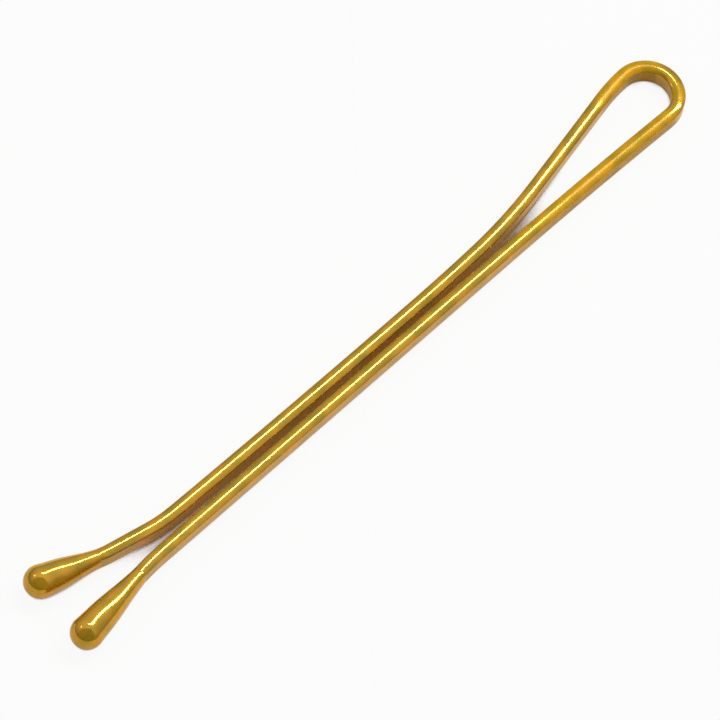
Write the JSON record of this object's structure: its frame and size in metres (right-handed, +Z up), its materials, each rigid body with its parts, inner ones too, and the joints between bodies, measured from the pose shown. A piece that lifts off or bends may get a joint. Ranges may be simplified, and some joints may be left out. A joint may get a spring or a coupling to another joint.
{
  "type": "bobby pin",
  "caption": "Bobby pin of flat spring wire: a straight prong and a bowed, sprung prong meet at a round loop, each ends in a moulded bead, and they spring apart to grip hair.",
  "frame": {"origin": "below the middle of the pin's box, at the level of the beads' undersides", "axes": "+X along the pin towards the loop, +Y from the straight prong to the sprung prong, +Z up, across the width of the wire"},
  "size_m": [0.0508, 0.006, 0.0019],
  "materials": {
    "wire": "glossy gold lacquer on spring steel",
    "bead": "glossy gold"
  },
  "bodies": {
    "straight_prong": {"straight_prong": "wire", "straight_tip": "bead"},
    "loop_straight_side": {"loop_straight_side": "wire"},
    "loop_sprung_side": {"loop_sprung_side": "wire"},
    "sprung_prong": {"sprung_prong": "wire", "sprung_tip": "bead"}
  },
  "joints": [
    {"name": "straight_side_flex", "type": "hinge", "parent": "straight_prong", "child": "loop_straight_side", "pos_m": [0.01417, -0.00181, 0.00097], "axis": [0, 0, -1], "range_deg": [0, 6.5], "stiffness_Nm_per_rad": 1.03},
    {"name": "crown_flex", "type": "hinge", "parent": "loop_straight_side", "child": "loop_sprung_side", "pos_m": [0.0254, 0.00016, 0.00097], "axis": [0, 0, -1], "range_deg": [0, 1.95]},
    {"name": "sprung_side_flex", "type": "hinge", "parent": "loop_sprung_side", "child": "sprung_prong", "pos_m": [0.01424, 0.00076, 0.00097], "axis": [0, 0, -1], "range_deg": [0, 6.5]}
  ],
  "couplings": [
    {"joint": "crown_flex", "follows": "straight_side_flex", "ratio": 0.3},
    {"joint": "sprung_side_flex", "follows": "straight_side_flex", "ratio": 1}
  ]
}
